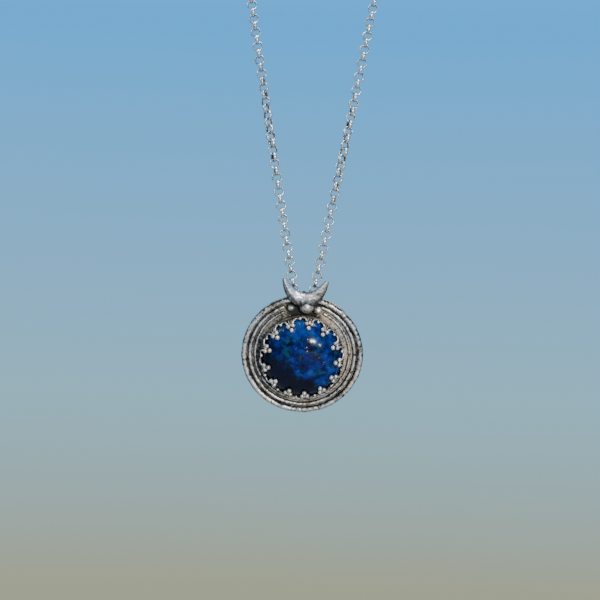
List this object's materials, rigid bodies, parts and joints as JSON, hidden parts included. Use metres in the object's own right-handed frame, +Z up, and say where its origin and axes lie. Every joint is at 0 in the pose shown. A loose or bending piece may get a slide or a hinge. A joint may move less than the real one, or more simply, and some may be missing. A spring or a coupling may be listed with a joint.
{
  "type": "pendant necklace",
  "caption": "Round silver pendant with a blue domed stone in a beaded crown setting under a crescent, hanging on a belcher chain with a lobster clasp.",
  "frame": {"origin": "middle of the clasp at the top of the chain's loop, where the necklace rests on a neck or a stand", "axes": "+Z up, the pendant hangs below; +Y away from the pendant's face, front to back; +X to the right seen from the front"},
  "size_m": [0.0628, 0.0141, 0.2294],
  "materials": {
    "pendant_silver": "satin",
    "chain_silver": "satin",
    "clasp_silver": "satin",
    "spring_steel": "satin",
    "lapis": "polished"
  },
  "bodies": {
    "root": {"chain_top_left": "chain_silver", "chain_top_right": "chain_silver", "clasp_body": "clasp_silver", "clasp_pin": "clasp_silver", "clasp_spring": "spring_steel", "clasp_end_ring": "chain_silver", "clasp_jump_ring": "chain_silver"},
    "clasp_lever": {"clasp_lever": "clasp_silver"},
    "chain_band_7": {"chain_left_7": "chain_silver", "chain_right_7": "chain_silver"},
    "chain_band_6": {"chain_left_6": "chain_silver", "chain_right_6": "chain_silver"},
    "chain_band_5": {"chain_left_5": "chain_silver", "chain_right_5": "chain_silver"},
    "chain_band_4": {"chain_left_4": "chain_silver", "chain_right_4": "chain_silver"},
    "chain_band_3": {"chain_left_3": "chain_silver", "chain_right_3": "chain_silver"},
    "chain_band_2": {"chain_left_2": "chain_silver", "chain_right_2": "chain_silver"},
    "chain_band_1": {"chain_left_1": "chain_silver", "chain_right_1": "chain_silver"},
    "chain_at_bail": {"chain_at_bail": "chain_silver"},
    "pendant": {"back_plate": "pendant_silver", "outer_rim_wire": "pendant_silver", "middle_ring_wire": "pendant_silver", "inner_ring_wire": "pendant_silver", "bezel_crown": "pendant_silver", "stone_seat_ring": "pendant_silver", "stone": "lapis", "crescent": "pendant_silver", "crescent_ball": "pendant_silver", "granule_left": "pendant_silver", "granule_right": "pendant_silver", "solder_bead": "pendant_silver", "bail_ring": "pendant_silver"}
  },
  "joints": [
    {"name": "chain_bend_8", "type": "hinge", "parent": "root", "child": "chain_band_7", "pos_m": [0, 0, -0.04072], "axis": [1, 0, 0], "range_deg": [-25, 25]},
    {"name": "chain_bend_7", "type": "hinge", "parent": "chain_band_7", "child": "chain_band_6", "pos_m": [0, 0, -0.06017], "axis": [1, 0, 0], "range_deg": [-25, 25]},
    {"name": "chain_bend_6", "type": "hinge", "parent": "chain_band_6", "child": "chain_band_5", "pos_m": [0, 0, -0.07961], "axis": [1, 0, 0], "range_deg": [-25, 25]},
    {"name": "chain_bend_5", "type": "hinge", "parent": "chain_band_5", "child": "chain_band_4", "pos_m": [0, 0, -0.09904], "axis": [1, 0, 0], "range_deg": [-25, 25]},
    {"name": "chain_bend_4", "type": "hinge", "parent": "chain_band_4", "child": "chain_band_3", "pos_m": [0, 0, -0.11846], "axis": [1, 0, 0], "range_deg": [-25, 25]},
    {"name": "chain_bend_3", "type": "hinge", "parent": "chain_band_3", "child": "chain_band_2", "pos_m": [0, 0, -0.13787], "axis": [1, 0, 0], "range_deg": [-25, 25]},
    {"name": "chain_bend_2", "type": "hinge", "parent": "chain_band_2", "child": "chain_band_1", "pos_m": [0, 0, -0.17825], "axis": [1, 0, 0], "range_deg": [-25, 25]},
    {"name": "chain_bend_1", "type": "hinge", "parent": "chain_band_1", "child": "chain_at_bail", "pos_m": [0, 0, -0.19116], "axis": [1, 0, 0], "range_deg": [-25, 25]},
    {"name": "pendant_swing", "type": "hinge", "parent": "chain_at_bail", "child": "pendant", "pos_m": [0, 0, -0.2017], "axis": [1, 0, 0], "range_deg": [-20, 120]},
    {"name": "lever_press", "type": "hinge", "parent": "root", "child": "clasp_lever", "pos_m": [0.00141, -0.00175, 0], "axis": [0, 0, -1], "range_deg": [0, 20], "stiffness_Nm_per_rad": 0.002}
  ]
}
